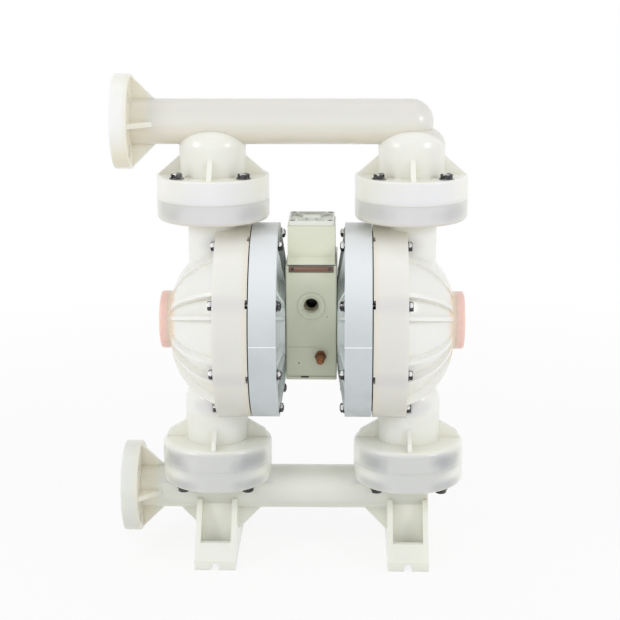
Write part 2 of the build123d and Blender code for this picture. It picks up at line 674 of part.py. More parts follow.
# ---- fasteners -------------------------------------------------------------------------
def chamber_bolts():
    length = FLUID_BACK_X - AIR_BACK_X + 8
    bolt = Rot(0, 90, 0) * flange_bolt(5, length, 14, 7.5, 9.5)
    return copies(bolt, [Pos(FLUID_BACK_X, y, AXIS_Z + z) for y, z in chamber_points()])


def chamber_nuts():
    nut = Rot(0, -90, 0) * flange_nut(5, 14, 7, 9.5)
    return copies(nut, [Pos(AIR_BACK_X, y, AXIS_Z + z) for y, z in chamber_points()])


def joint_bolts(face, direction, grip):
    """Eight bolts into the inserts; direction is 1 with the heads on top."""
    bolt = flange_bolt(6, grip + 22, 17, 8.5, 12)
    if direction < 0:
        bolt = Rot(180, 0, 0) * bolt
    height = face + direction * grip
    places = [Pos(side * PORT_X + x, y, height) for side in (-1, 1) for x, y in joint_points()]
    return copies(bolt, places)


def joint_inserts(z0, z1):
    insert = ring_z(10, 6, z0, z1)
    places = [Pos(side * PORT_X + x, y, 0) for side in (-1, 1) for x, y in joint_points()]
    return copies(insert, places)


def block_bolts():
    bolt = Rot(0, 90, 0) * flange_bolt(4, 63 - BLOCK_HALF_X + 18, 10, 3.5, 0.1)
    return copies(bolt, [Pos(63, y, z) for y, z in block_bolt_points()])


# ---- all nodes -------------------------------------------------------------------------
def build_nodes():
    pairs = {
        "fluid_chamber": fluid_chamber(),
        "air_chamber": air_chamber(),
        "boss_cap": boss_cap(),
        "block_gasket": block_gasket(),
        "diaphragm": diaphragm(),
        "inner_plate": inner_plate(),
        "outer_plate": outer_plate(),
        "plate_bolt": plate_bolt(),
        "suction_seat": seat(PORT_X, SUCTION_JOINT_Z),
        "discharge_seat": seat(PORT_X, DISCHARGE_JOINT_Z),
        "suction_seat_ring": seat_ring(PORT_X, SUCTION_JOINT_Z),
        "discharge_seat_ring": seat_ring(PORT_X, DISCHARGE_JOINT_Z),
        "suction_ball": ball(PORT_X, SUCTION_JOINT_Z),
        "discharge_ball": ball(PORT_X, DISCHARGE_JOINT_Z),
        "chamber_bolts": chamber_bolts(),
        "chamber_nuts": chamber_nuts(),
        "block_bolts": block_bolts(),
    }
    nodes = {}
    for name, shape in pairs.items():
        for side, copy in both_sides(shape).items():
            nodes[f"{name}_{side}"] = copy
    edge = BLOCK_HALF_X
    pilot_z = AXIS_Z - PILOT_DROP
    bush = ring_x(18, SHAFT_R + 0.05, edge - 18, edge)
    seal = ring_x(18, SHAFT_R + 0.06, edge + GASKET_T, edge + GASKET_T + 7)
    guide = ring_x(PILOT_R + 3, PILOT_R + 0.05, edge - 12, edge, 0, pilot_z)
    nodes["shaft_bushes"] = Compound(children=list(both_sides(bush).values()))
    nodes["shaft_seals"] = Compound(children=list(both_sides(seal).values()))
    nodes["pilot_bushes"] = Compound(children=list(both_sides(guide).values()))
    nodes["main_shaft"] = main_shaft()
    nodes["pilot_rod"] = rod_x(PILOT_R, -PILOT_HALF, PILOT_HALF, 0, pilot_z)
    nodes["center_block"] = centre_block()
    nodes["air_valve_body"] = valve_body()
    nodes["air_valve_cap"] = valve_cap()
    nodes["air_valve_gasket"] = valve_gasket()
    nodes["air_valve_sleeve"] = valve_sleeve()
    nodes["air_valve_spool"] = valve_spool()
    nodes["air_valve_screws"] = copies(valve_screw(), [Pos(x, y, 0) for x, y in valve_screw_points()])
    nodes["vent_silencer"] = silencer()
    nodes["name_plate"] = name_plate()
    nodes["name_plate_pins"] = copies(plate_pin(), [Pos(x, 0, 0) for x in (-30, 30)])
    nodes["discharge_manifold"] = discharge_manifold()
    nodes["suction_manifold"] = suction_manifold()
    nodes["discharge_joint_bolts"] = joint_bolts(DISCHARGE_JOINT_Z, 1, MANIFOLD_TOP_T)
    nodes["suction_joint_bolts"] = joint_bolts(SUCTION_JOINT_Z, -1, MANIFOLD_LOW_T)
    nodes["discharge_joint_inserts"] = joint_inserts(DISCHARGE_JOINT_Z - 24, DISCHARGE_JOINT_Z)
    nodes["suction_joint_inserts"] = joint_inserts(SUCTION_JOINT_Z, SUCTION_JOINT_Z + 24)
    return nodes


for node, shape in build_nodes().items():
    export_step(shape, f"parts/{node}.step")
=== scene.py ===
import json
import math

import bpy
from mathutils import Matrix, Vector


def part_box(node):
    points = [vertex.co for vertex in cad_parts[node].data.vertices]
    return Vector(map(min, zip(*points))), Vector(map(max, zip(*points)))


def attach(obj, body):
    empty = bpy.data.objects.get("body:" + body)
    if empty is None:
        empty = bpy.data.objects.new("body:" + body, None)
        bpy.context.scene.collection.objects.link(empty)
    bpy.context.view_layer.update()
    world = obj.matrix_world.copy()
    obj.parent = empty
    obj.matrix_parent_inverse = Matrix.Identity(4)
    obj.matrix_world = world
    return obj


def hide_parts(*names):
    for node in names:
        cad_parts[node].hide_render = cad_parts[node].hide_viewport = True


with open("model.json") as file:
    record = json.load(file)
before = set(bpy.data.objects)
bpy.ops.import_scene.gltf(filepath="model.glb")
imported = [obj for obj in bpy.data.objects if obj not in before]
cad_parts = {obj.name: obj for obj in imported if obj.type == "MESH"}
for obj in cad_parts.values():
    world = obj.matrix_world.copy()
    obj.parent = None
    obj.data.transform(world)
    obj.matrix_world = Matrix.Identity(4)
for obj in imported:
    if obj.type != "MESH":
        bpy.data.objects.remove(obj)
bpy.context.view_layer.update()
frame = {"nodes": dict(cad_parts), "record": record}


# ---- places taken from the frame, in metres -------------------------------------------
def middle(node):
    low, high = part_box(node)
    return (low + high) / 2


AXIS_Z = middle("main_shaft").z              # height of the main shaft
PORT_X = middle("suction_ball_right").x      # axes of the check valves
SUCTION_JOINT_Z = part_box("suction_joint_inserts")[0].z
DISCHARGE_JOINT_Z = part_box("discharge_joint_inserts")[1].z
SUCTION_TOP_Z = 0.30         # the suction side is below this height
JOINT_R = 0.0915             # rims of the check valve joints
JOINT_BOLT_R = 0.0755
FLANGE_R = 0.161             # rims of the chamber flanges
CHAMBER_BOLT_R = 0.1465
CHAMBER_BOLTS = 8            # round each chamber
FLUID_FACE_X = 0.1025
FLUID_BACK_X = 0.1543
AIR_BACK_X = 0.0538
MOULD_Z = 0.398              # mould line of the air chambers
BOSS_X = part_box("boss_cap_right")[1].x
PIPE_R = 0.0366
DISCHARGE_PIPE_Z = 0.7314
SUCTION_PIPE_Z = 0.110
END_FLANGE_X = -0.290        # inner face of the end flanges
END_FLANGE_OUT_X = -0.320    # just outside their outer face
GUSSET_TONE_REACH = 0.022    # along the gussets, from that inner face
BLOCK_FRONT_Y = -0.080
INLET_Z = 0.445
INLET_R = 0.0126
EXHAUST_Z = 0.440
EXHAUST_R = 0.0162
GROOVE_X = (-0.038, 0.007)   # mould groove on the front of the centre block
GROOVE_Z = (0.3766, 0.3774)
NOTCH_X = (-0.0165, -0.0043)
NOTCH_Z = (0.3262, 0.3280)
EJECTOR_MARKS = ((0.026, 0.427, 0.35), (-0.020, 0.350, 0.75))   # x, z and darkness
PLATE_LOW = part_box("name_plate")[0]
PLATE_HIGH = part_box("name_plate")[1]
PLATE_BORDER = 0.0012        # dark outline of the blank plate
PLASTIC_IOR = 1.49
SIDES = {"left": -1, "right": 1}


# ---- material graph -------------------------------------------------------------------
class Graph:
    """Adds and joins the nodes of one material."""

    def __init__(self, name):
        self.material = bpy.data.materials.new(name)
        self.material.use_nodes = True
        self.tree = self.material.node_tree
        self.shader = self.tree.nodes["Principled BSDF"]
        self.place = self.node("TexCoord", output="Object")

    def put(self, target, value):
        if isinstance(value, bpy.types.NodeSocket):
            self.tree.links.new(value, target)
        else:
            target.default_value = value

    def node(self, kind, inputs=None, output=0, **settings):
        node = self.tree.nodes.new("ShaderNode" + kind)
        for key, value in settings.items():
            setattr(node, key, value)
        for key, value in (inputs or {}).items():
            self.put(node.inputs[key], value)
        return node.outputs[output]

    def math(self, operation, a, b=0.0):
        return self.node("Math", {0: a, 1: b}, operation=operation)

    def times(self, a, b):
        return self.math("MULTIPLY", a, b)

    def away(self, a, b):
        """Distance between two numbers."""
        return self.math("ABSOLUTE", self.math("SUBTRACT", a, b))

    def span(self, value, start, end, low=0.0, high=1.0):
        """Smooth step from low at start to high at end."""
        inputs = {"Value": value, "From Min": start, "From Max": end, "To Min": low, "To Max": high}
        return self.node("MapRange", inputs, interpolation_type="SMOOTHSTEP")

    def noise(self, scale, detail=3.0, stretch=None):
        place = self.place
        if stretch:
            place = self.node("Mapping", {"Vector": place, "Scale": stretch})
        inputs = {"Vector": place, "Scale": scale, "Detail": detail}
        return self.node("TexNoise", inputs)

    def mix(self, amount, a, b):
        node = self.tree.nodes.new("ShaderNodeMix")
        node.data_type = "RGBA"
        self.put(node.inputs[0], amount)
        self.put(node.inputs[6], a)
        self.put(node.inputs[7], b)
        return node.outputs[2]

    def axes(self):
        """x, y and z of the place, in metres."""
        split = self.tree.nodes.new("ShaderNodeSeparateXYZ")
        self.tree.links.new(self.place, split.inputs[0])
        return split.outputs

    def hollow(self, distance):
        """0 on open faces and 1 deep in a corner."""
        open_part = self.node("AmbientOcclusion", {"Distance": distance}, output="AO", samples=8)
        return self.span(open_part, 1.0, 0.25)

    def bump(self, height, strength, distance, soft_edge=0.0):
        """Fine relief, shaded over edges as if rounded to the radius soft_edge."""
        inputs = {"Height": height, "Strength": strength, "Distance": distance}
        if soft_edge:
            inputs["Normal"] = self.node("Bevel", {"Radius": soft_edge}, samples=6)
        self.put(self.shader.inputs["Normal"], self.node("Bump", inputs))

    def length(self, a, b):
        return self.math("SQRT", self.math("ADD", self.times(a, a), self.times(b, b)))

    def within(self, value, low, high, soft):
        """1 between low and high, with a soft edge just outside."""
        return self.times(self.span(value, low - soft, low), self.span(value, high + soft, high))

    def tint(self, colour, amount, other, share=1.0):
        """Colour turned towards another by amount, from 0 to 1, times share."""
        if share != 1.0:
            amount = self.times(amount, share)
        return self.mix(amount, colour, other)

    def facing(self, direction, start, end):
        """1 where the surface faces a fixed direction of the object."""
        aim = Vector(direction).normalized()
        inputs = {0: self.node("NewGeometry", output="Normal"), 1: tuple(aim)}
        dot = self.node("VectorMath", inputs, output="Value", operation="DOT_PRODUCT")
        return self.span(dot, start, end)

    def surface(self, **values):
        for key, value in values.items():
            self.put(self.shader.inputs[key.replace("_", " ")], value)
        return self.material


def rgb(red, green, blue):
    """Colour as read on screen, 0 to 255, turned into the shader's linear values."""
    def linear(value):
        value /= 255.0
        return value / 12.92 if value <= 0.04045 else ((value + 0.055) / 1.055) ** 2.4
    return (linear(red), linear(green), linear(blue), 1.0)


# ---- plastics -------------------------------------------------------------------------
def joint_shadow(g):
    """Painted shade where the dark metal inserts and bolts show through the plastic of the check
    valve flanges.
    """
    x, y, z = g.axes()
    side = g.away(g.math("ABSOLUTE", x), PORT_X)
    reach = JOINT_BOLT_R * math.sqrt(0.5)
    away = g.length(g.away(side, reach), g.away(g.math("ABSOLUTE", y), reach))
    patchy = g.span(g.noise(26.0, 2.0), 0.2, 0.75, -0.007, 0.007)
    near = g.span(g.math("ADD", away, patchy), 0.046, 0.011)
    upper = g.span(g.away(z, DISCHARGE_JOINT_Z - 0.014), 0.022, 0.004, 0.0, 0.50)
    insert = g.span(g.away(z, SUCTION_JOINT_Z + 0.014), 0.024, 0.003)
    bolt = g.span(g.away(z, SUCTION_JOINT_Z - 0.026), 0.014, 0.002, 0.0, 0.75)
    lower = g.math("MAXIMUM", insert, bolt)
    return g.times(near, g.math("MAXIMUM", upper, lower))


def joint_tone(g):
    """Greyer band of the chamber's own flange under the discharge joint."""
    _, _, z = g.axes()
    top = g.span(z, DISCHARGE_JOINT_Z, DISCHARGE_JOINT_Z - 0.001)
    low = g.span(z, DISCHARGE_JOINT_Z - 0.040, DISCHARGE_JOINT_Z - 0.030)
    return g.times(top, low)


def joint_front(g):
    """1 on the front of the rims of the check valve flanges."""
    x, y, z = g.axes()
    off = g.length(g.away(g.math("ABSOLUTE", x), PORT_X), y)
    rim = g.within(off, JOINT_R - 0.002, JOINT_R + 0.001, 0.012)
    near = g.math("MINIMUM", g.away(z, DISCHARGE_JOINT_Z), g.away(z, SUCTION_JOINT_Z))
    rim = g.times(rim, g.span(near, 0.040, 0.036))
    return g.times(rim, g.facing((0.1, -1, 0), 0.55, 1.0))


def chamber_shadow(g):
    """Painted shade where the steel bolts show through the rim of the chamber flange."""
    _, y, z = g.axes()
    side = g.math("ABSOLUTE", y)
    rise = g.away(z, AXIS_Z)
    half_step = math.pi / CHAMBER_BOLTS
    off_a = g.away(g.math("MAXIMUM", side, rise), CHAMBER_BOLT_R * math.cos(half_step))
    off_b = g.away(g.math("MINIMUM", side, rise), CHAMBER_BOLT_R * math.sin(half_step))
    return g.span(g.length(off_a, off_b), 0.024, 0.010)


def boss_glow(g):
    """Painted glow: pink of the boss cap, scattered into the end of the dome."""
    x, y, z = g.axes()
    away = g.length(y, g.away(z, AXIS_Z))
    out = g.span(g.math("ABSOLUTE", x), 0.200, BOSS_X - 0.018)
    return g.times(out, g.span(away, 0.084, 0.050))


def bare_pipe(g, pipe_z):
    """1 on the bare pipe of a manifold."""
    _, y, z = g.axes()
    return g.span(g.length(y, g.away(z, pipe_z)), PIPE_R + 0.003, PIPE_R + 0.0005)


def suction_side(g):
    """1 at the height of the lower joints and below."""
    _, _, z = g.axes()
    return g.span(z, SUCTION_TOP_Z, SUCTION_TOP_Z - 0.05)


def pipe_tone_and_shade(g, colour):
    """Greyer pipes, with painted shade greyer still on top and yellower under the upper one."""
    upper = bare_pipe(g, DISCHARGE_PIPE_Z)
    either = g.math("MAXIMUM", upper, bare_pipe(g, SUCTION_PIPE_Z))
    colour = g.tint(colour, either, rgb(229, 229, 222), 0.8)
    # painted shade on the tops of the pipes and under the upper one
    top = g.times(either, g.facing((0, 0, 1), 0.1, 0.9))
    colour = g.tint(colour, top, rgb(222, 219, 212), 0.7)
    under = g.times(upper, g.facing((0, -0.5, -1), 0.2, 0.95))
    return g.tint(colour, under, rgb(236, 224, 200), 0.5)


def end_flange_light_and_shade(g, colour):
    """Painted highlight on the rims, painted shade on the lower flange and yellower painted shade
    between the gussets.
    """
    x, _, z = g.axes()
    rim = g.within(x, END_FLANGE_OUT_X, END_FLANGE_X - 0.001, 0.001)
    rim = g.times(rim, g.span(z, 0.2, 0.6, 0.3, 1.0))
    # painted highlight on the lit side of the rims
    lit_rim = g.times(rim, g.facing((-0.75, -0.6, 0.2), 0.35, 1.0))
    colour = g.tint(colour, lit_rim, rgb(247, 247, 255))
    # painted shade on the lower end flange
    flange = g.within(x, END_FLANGE_OUT_X, END_FLANGE_X + 0.001, 0.001)
    colour = g.tint(colour, g.times(flange, suction_side(g)), rgb(222, 225, 221), 0.7)
    # yellower painted shade between the gussets
    gussets = g.within(x, END_FLANGE_X, END_FLANGE_X + GUSSET_TONE_REACH, 0.012)
    return g.tint(colour, gussets, rgb(238, 229, 205), 0.4)


def chamber_tone_and_shade(g, colour):
    """Whiter domes, greyer chamber flanges with painted shade deepening downwards, and yellower
    painted shade beside the air chambers.
    """
    x, y, z = g.axes()
    side = g.math("ABSOLUTE", x)
    from_shaft = g.length(y, g.away(z, AXIS_Z))
    dome = g.times(g.span(from_shaft, FLANGE_R, FLANGE_R - 0.008),
                   g.span(side, FLUID_BACK_X, FLUID_BACK_X + 0.006))
    colour = g.tint(colour, dome, rgb(248, 249, 247), 0.5)
    flange = g.within(from_shaft, FLANGE_R - 0.008, FLANGE_R + 0.001, 0.001)
    flange = g.times(flange, g.span(side, FLUID_BACK_X + 0.0015, FLUID_BACK_X + 0.0005))
    # painted shade, deepening downwards on the flanges
    lower = g.span(z, 0.56, 0.42, 0.25, 0.8)
    colour = g.tint(colour, g.times(flange, lower), rgb(226, 225, 220))
    # yellower painted shade on the flange edge beside the air chamber
    face_band = g.span(side, FLUID_FACE_X + 0.010, FLUID_FACE_X - 0.002)
    return g.tint(colour, g.times(face_band, flange), rgb(236, 226, 202), 0.5)


def joint_sheen_and_shade(g, colour):
    """Painted cool sheen on the joint rims, painted shade greyer on the suction side, and the band
    at the top ones.
    """
    front = joint_front(g)
    # painted cool sheen on the fronts of the rims
    colour = g.tint(colour, front, rgb(236, 236, 245), 0.5)
    # painted shade on the suction side rims
    colour = g.tint(colour, g.times(front, suction_side(g)), rgb(206, 208, 204), 0.7)
    return g.tint(colour, joint_tone(g), rgb(184, 181, 182), 0.32)


def natural_plastic():
    """Unpigmented polypropylene: milky, with yellower painted shade on faces turned down and in
    corners.
    """
    g = Graph("natural_polypropylene")
    _, _, z = g.axes()
    broad = g.span(g.noise(9.0, 2.0), 0.35, 0.65)
    colour = g.mix(broad, rgb(248, 248, 242), rgb(243, 243, 234))
    # painted shade: yellower on faces turned down and in corners
    colour = g.tint(colour, g.facing((0, 0, -1), 0.1, 0.95), rgb(236, 230, 208))
    colour = g.tint(colour, g.hollow(0.03), rgb(232, 229, 212), 0.3)
    colour = pipe_tone_and_shade(g, colour)
    colour = g.tint(colour, g.span(z, SUCTION_TOP_Z, 0.08), rgb(238, 242, 228), 0.35)
    colour = end_flange_light_and_shade(g, colour)
    colour = chamber_tone_and_shade(g, colour)
    colour = g.tint(colour, boss_glow(g), rgb(246, 218, 186), 0.6)
    colour = joint_sheen_and_shade(g, colour)
    colour = g.tint(colour, chamber_shadow(g), rgb(196, 190, 206), 0.26)
    colour = g.tint(colour, joint_shadow(g), rgb(104, 108, 126), 0.48)
    rough = g.span(g.noise(60.0, 3.0), 0.3, 0.7, 0.28, 0.40)
    g.bump(g.noise(1400.0, 2.0), 0.15, 0.0003)
    return g.surface(Base_Color=colour, Roughness=rough, IOR=PLASTIC_IOR,
                     Subsurface_Weight=0.35, Subsurface_Radius=(1.0, 0.9, 0.75),
                     Subsurface_Scale=0.012, Coat_Weight=0.5, Coat_Roughness=0.16)


def plain_plastic(name, light, dark, rough=0.4, details=None):
    """Pigmented plastic with painted shade in its corners; details turns its colour for a piece's
    own marks and its painted light and shade.
    """
    g = Graph(name)
    colour = g.mix(g.span(g.noise(14.0, 3.0), 0.35, 0.65), light, dark)
    shade = tuple(0.55 * value for value in dark[:3]) + (1.0,)
    # painted shade in corners, a darker copy of the plastic's colour
    colour = g.tint(colour, g.hollow(0.015), shade, 0.4)
    if details:
        colour = details(g, colour)
    g.bump(g.noise(1600.0, 2.0), 0.2, 0.00025, 0.0012)
    rough_map = g.span(g.noise(80.0, 3.0), 0.3, 0.7, rough - 0.05, rough + 0.06)
    return g.surface(Base_Color=colour, Roughness=rough_map, IOR=PLASTIC_IOR)


def air_chamber_tone_and_light(g, colour):
    """Painted highlight along the mould line round the middle, painted light paler above it,
    grey-green on the back cones.
    """
    x, y, z = g.axes()
    rim = g.span(g.length(y, g.away(z, AXIS_Z)), FLANGE_R - 0.006, FLANGE_R - 0.001)
    # painted light: paler towards the top, above the mould line
    colour = g.tint(colour, g.span(z, MOULD_Z - 0.002, 0.52), rgb(234, 238, 241))
    back = g.span(g.math("ABSOLUTE", x), AIR_BACK_X + 0.002, AIR_BACK_X - 0.002)
    colour = g.tint(colour, back, rgb(228, 235, 233), 0.8)
    # painted highlight along the mould line
    line = g.times(g.within(z, MOULD_Z - 0.0006, MOULD_Z + 0.0006, 0.0004), rim)
    return g.tint(colour, line, rgb(250, 252, 252))


def block_marks_and_shade(g, colour):
    """Mould groove and notch painted dark as shade, ejector marks, painted light and shade in the
    passages and painted shade deeper at the bottom.
    """
    x, y, z = g.axes()
    front = g.span(y, BLOCK_FRONT_Y + 0.002, BLOCK_FRONT_Y + 0.001)
    # painted shade, deeper towards the bottom
    colour = g.tint(colour, g.span(z, 0.52, 0.34), rgb(188, 192, 168), 0.55)
    groove = g.times(g.within(z, *GROOVE_Z, 0.0005), g.within(x, *GROOVE_X, 0.001))
    notch = g.times(g.within(z, *NOTCH_Z, 0.0004), g.within(x, *NOTCH_X, 0.0005))
    # groove and notch painted dark as the shade inside them
    colour = g.tint(colour, g.times(groove, front), rgb(140, 142, 112), 0.45)
    colour = g.tint(colour, g.times(notch, front), rgb(40, 38, 30))
    for mark_x, mark_z, darkness in EJECTOR_MARKS:
        away = g.length(g.away(x, mark_x), g.away(z, mark_z))
        dot = g.times(g.span(away, 0.0022, 0.0014), front)
        ring = g.times(g.within(away, 0.0034, 0.0038, 0.0005), front)
        colour = g.tint(colour, dot, rgb(120, 120, 96), darkness)
        colour = g.tint(colour, ring, rgb(226, 229, 212), 0.5)
    bore = g.span(g.length(x, g.away(z, INLET_Z)), 0.0165, 0.0128)
    bore = g.times(bore, g.span(y, 0.05, 0.03))
    deep = g.times(bore, g.span(y, BLOCK_FRONT_Y + 0.001, BLOCK_FRONT_Y + 0.010))
    # painted light and shade in the inlet bore: light where it faces up, darker elsewhere
    inner = g.mix(g.facing((0, -0.1, 1), 0.0, 0.7), rgb(178, 172, 134), rgb(254, 253, 232))
    colour = g.tint(colour, deep, inner)
    # painted shade deep in the passage
    far = g.times(bore, g.span(y, BLOCK_FRONT_Y + 0.0240, BLOCK_FRONT_Y + 0.0265))
    return g.tint(colour, far, rgb(58, 50, 26))


def pink_plastic():
    """Boss caps, a little deeper in colour towards their outer faces."""
    g = Graph("pink_polypropylene")
    x, _, _ = g.axes()
    out = g.span(g.math("ABSOLUTE", x), BOSS_X - 0.03, BOSS_X)
    colour = g.mix(out, rgb(254, 220, 206), rgb(253, 212, 202))
    g.bump(g.noise(1400.0, 2.0), 0.12, 0.0003)
    rough = g.span(g.noise(60.0, 3.0), 0.3, 0.7, 0.30, 0.42)
    return g.surface(Base_Color=colour, Roughness=rough, IOR=PLASTIC_IOR,
                     Subsurface_Weight=0.4, Subsurface_Radius=(1.0, 0.6, 0.5),
                     Subsurface_Scale=0.012)


def dark_plastic(name, colour, rough):
    """Acetal and rubber of the inner pieces."""
    g = Graph(name)
    mixed = g.mix(g.span(g.noise(120.0, 3.0), 0.3, 0.7), colour,
                  tuple(1.4 * value for value in colour[:3]) + (1.0,))
    g.bump(g.noise(900.0, 2.0), 0.25, 0.0002)
    return g.surface(Base_Color=mixed, Roughness=rough)


# ---- metals ---------------------------------------------------------------------------
def steel():
    """Stainless fasteners with a painted reflection: bright towards the front and top, nearly black
    elsewhere, with painted shade in crevices.
    """
    g = Graph("stainless_steel")
    worn = g.span(g.noise(160.0, 4.0), 0.35, 0.7)
    dark = g.mix(worn, rgb(92, 90, 92), rgb(44, 42, 42))
    # painted reflection: bright on faces turned to the front and top
    lit = g.math("MAXIMUM", g.facing((-0.2, -0.8, 0.5), 0.86, 0.98),
                 g.facing((0.2, -0.2, 1), 0.95, 0.995))
    colour = g.tint(dark, lit, rgb(236, 236, 236))
    # painted shade in crevices
    colour = g.tint(colour, g.hollow(0.004), rgb(20, 19, 20), 0.9)
    g.bump(g.noise(700.0, 2.0), 0.12, 0.0001, 0.0004)
    rough = g.span(g.noise(300.0, 2.0), 0.3, 0.7, 0.16, 0.32)
    return g.surface(Base_Color=colour, Metallic=1.0, Roughness=rough)


def aluminium():
    g = Graph("aluminium_plate")
    turned = g.noise(300.0, 2.0, (1.0, 0.05, 0.05))
    colour = g.mix(g.span(turned, 0.3, 0.7), rgb(206, 206, 208), rgb(180, 180, 184))
    g.bump(turned, 0.2, 0.0001)
    return g.surface(Base_Color=colour, Metallic=1.0, Roughness=0.35)


def bronze():
    g = Graph("sintered_bronze")
    grains = g.node("TexVoronoi", {"Vector": g.place, "Scale": 900.0})
    colour = g.mix(g.span(grains, 0.1, 0.7), rgb(188, 132, 92), rgb(96, 58, 38))
    colour = g.tint(colour, g.hollow(0.006), rgb(60, 30, 18), 0.8)
    g.bump(grains, 0.5, 0.0005)
    return g.surface(Base_Color=colour, Metallic=0.8, Roughness=0.5)


def plate_metal():
    """Blank brown strip with a dark outline."""
    g = Graph("copper_brown_plate")
    drawn = g.noise(400.0, 3.0, (0.02, 1.0, 1.0))
    colour = g.mix(g.span(drawn, 0.3, 0.7), rgb(156, 122, 106), rgb(112, 84, 72))
    x, _, z = g.axes()
    inner_x = g.within(x, PLATE_LOW.x + PLATE_BORDER, PLATE_HIGH.x - PLATE_BORDER, 0.0004)
    inner_z = g.within(z, PLATE_LOW.z + PLATE_BORDER, PLATE_HIGH.z - PLATE_BORDER, 0.0004)
    colour = g.mix(g.times(inner_x, inner_z), rgb(72, 50, 44), colour)
    g.bump(drawn, 0.1, 0.0001)
    return g.surface(Base_Color=colour, Metallic=0.5, Roughness=0.4)


MATERIALS = {
    "natural_polypropylene": natural_plastic(),
    "grey_polypropylene": plain_plastic("grey_polypropylene", rgb(208, 215, 217),
                                        rgb(201, 208, 210), 0.4, air_chamber_tone_and_light),
    "cream_polypropylene": plain_plastic("cream_polypropylene", rgb(227, 230, 210),
                                         rgb(219, 223, 201), 0.4, block_marks_and_shade),
    "pale_polypropylene": plain_plastic("pale_polypropylene", rgb(234, 237, 229),
                                        rgb(226, 229, 219)),
    "white_polypropylene": plain_plastic("white_polypropylene", rgb(232, 232, 228),
                                         rgb(220, 220, 214)),
    "white_ptfe": plain_plastic("white_ptfe", rgb(240, 240, 236), rgb(232, 232, 226), 0.3),
    "pink_polypropylene": pink_plastic(),
    "dark_acetal": dark_plastic("dark_acetal", rgb(38, 38, 40), 0.4),
    "black_elastomer": dark_plastic("black_elastomer", rgb(28, 28, 28), 0.6),
    "aluminium_plate": aluminium(),
    "stainless_steel": steel(),
    "sintered_bronze": bronze(),
    "copper_brown_plate": plate_metal(),
}


def dress(node, slot):
    """Give a CAD node its finished material."""
    piece = frame["nodes"][node]
    piece.data.materials.clear()
    piece.data.materials.append(MATERIALS[slot])


NODE_SLOTS = {entry["node"]: entry["material_slot"] for entry in frame["record"]["subparts"]}
for node, slot in NODE_SLOTS.items():
    dress(node, slot)


# ---- turned and hexagonal pieces ------------------------------------------------------
SEGMENTS = 48
SMOOTH_BELOW = 40.0      # degrees between faces


def hexagon(flats):
    """Radius of a hexagon at an angle."""
    def radius(angle):
        fold = (angle + math.pi / 6) % (math.pi / 3) - math.pi / 6
        return flats / 2 / math.cos(fold)
    return radius


def no_more(radius, limit):
    """Radius at an angle, held to a limit: the chamfer of a hexagon."""
    return lambda angle: min(radius(angle), limit)


def turned(levels, closed=False):
    """Points and faces of a lofted solid; levels holds (height, radius or its function)."""
    points = []
    for height, radius in levels:
        for i in range(SEGMENTS):
            angle = 2 * math.pi * i / SEGMENTS
            reach = radius(angle) if callable(radius) else radius
            points.append(Vector((reach * math.cos(angle), reach * math.sin(angle), height)))
    faces = []
    count = len(levels)
    for level in range(count if closed else count - 1):
        low = level * SEGMENTS
        high = (level + 1) % count * SEGMENTS
        for i in range(SEGMENTS):
            after = (i + 1) % SEGMENTS
            faces.append((low + i, low + after, high + after, high + i))
    if not closed:
        faces.append(tuple(reversed(range(SEGMENTS))))
        faces.append(tuple(range((count - 1) * SEGMENTS, count * SEGMENTS)))
    return points, faces


def thread(start, end, radius, depth, pitch=0.0015):
    """Levels of a screw thread as close ridges, from start down or up to end."""
    turns = int(abs(end - start) / pitch)
    step = math.copysign(pitch / 2, end - start)
    return [(start + step * i, radius - depth * (i % 2)) for i in range(2 * turns)]


def bolt_levels(flats, head, washer, shank, length):
    """Hexagon flange bolt from the end of its shank up to its chamfered head."""
    hexed = hexagon(flats)
    ridges = thread(-length + 0.0015, -length + 0.0225, shank, 0.0005)
    levels = [(-length, shank - 0.001)] + ridges + [(-0.0005, shank)]
    levels += [(0.0, washer - 0.0002), (0.0006, washer), (0.0013, washer - 0.0002)]
    levels += [(0.0019, no_more(hexed, flats * 0.56)), (0.0024, hexed)]
    levels += [(head - 0.0013, hexed), (head - 0.0007, no_more(hexed, flats * 0.545))]
    levels += [(head - 0.0001, no_more(hexed, flats * 0.49)), (head, flats * 0.44)]
    return levels + [(head - 0.0004, flats * 0.40), (head - 0.0005, 0.0002)]


def nut_levels(flats, height, washer, bore):
    """Hexagon flange nut from its washer face up and back down its bore."""
    hexed = hexagon(flats)
    levels = [(0.0, washer - 0.0002), (0.0006, washer), (0.0013, washer - 0.0002)]
    levels += [(0.0022, hexed), (height - 0.0013, hexed)]
    levels += [(height - 0.0006, no_more(hexed, flats * 0.53)), (height, flats * 0.46)]
    return levels + [(height, bore + 0.0008), (height - 0.0008, bore), (0.0, bore)]


def add_pieces(name, shape, places, slot, body="housing"):
    """One object that repeats a shape, a pair of points and faces, at each place."""
    points, faces = shape
    mesh = bpy.data.meshes.new(name)
    all_points = []
    all_faces = []
    for place in places:
        first = len(all_points)
        all_points += [place @ point for point in points]
        all_faces += [tuple(first + i for i in face) for face in faces]
    mesh.from_pydata(all_points, [], all_faces)
    mesh.materials.append(MATERIALS[slot])
    piece = bpy.data.objects.new(name, mesh)
    bpy.context.scene.collection.objects.link(piece)
    mesh.shade_smooth()
    mesh.set_sharp_from_angle(angle=math.radians(SMOOTH_BELOW))
    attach(piece, body)
    return piece


def seat(x, y, z, axis, turn=0.0):
    """Place of a fastener that sits at a point and looks along an axis."""
    aim = Vector(axis).to_track_quat("Z", "Y").to_matrix().to_4x4()
    return Matrix.Translation((x, y, z)) @ aim @ Matrix.Rotation(turn, 4, "Z")


def circle(radius, count, start):
    """Points spaced evenly round a circle."""
    angles = [start + 2 * math.pi * i / count for i in range(count)]
    return [(radius * math.cos(angle), radius * math.sin(angle)) for angle in angles]


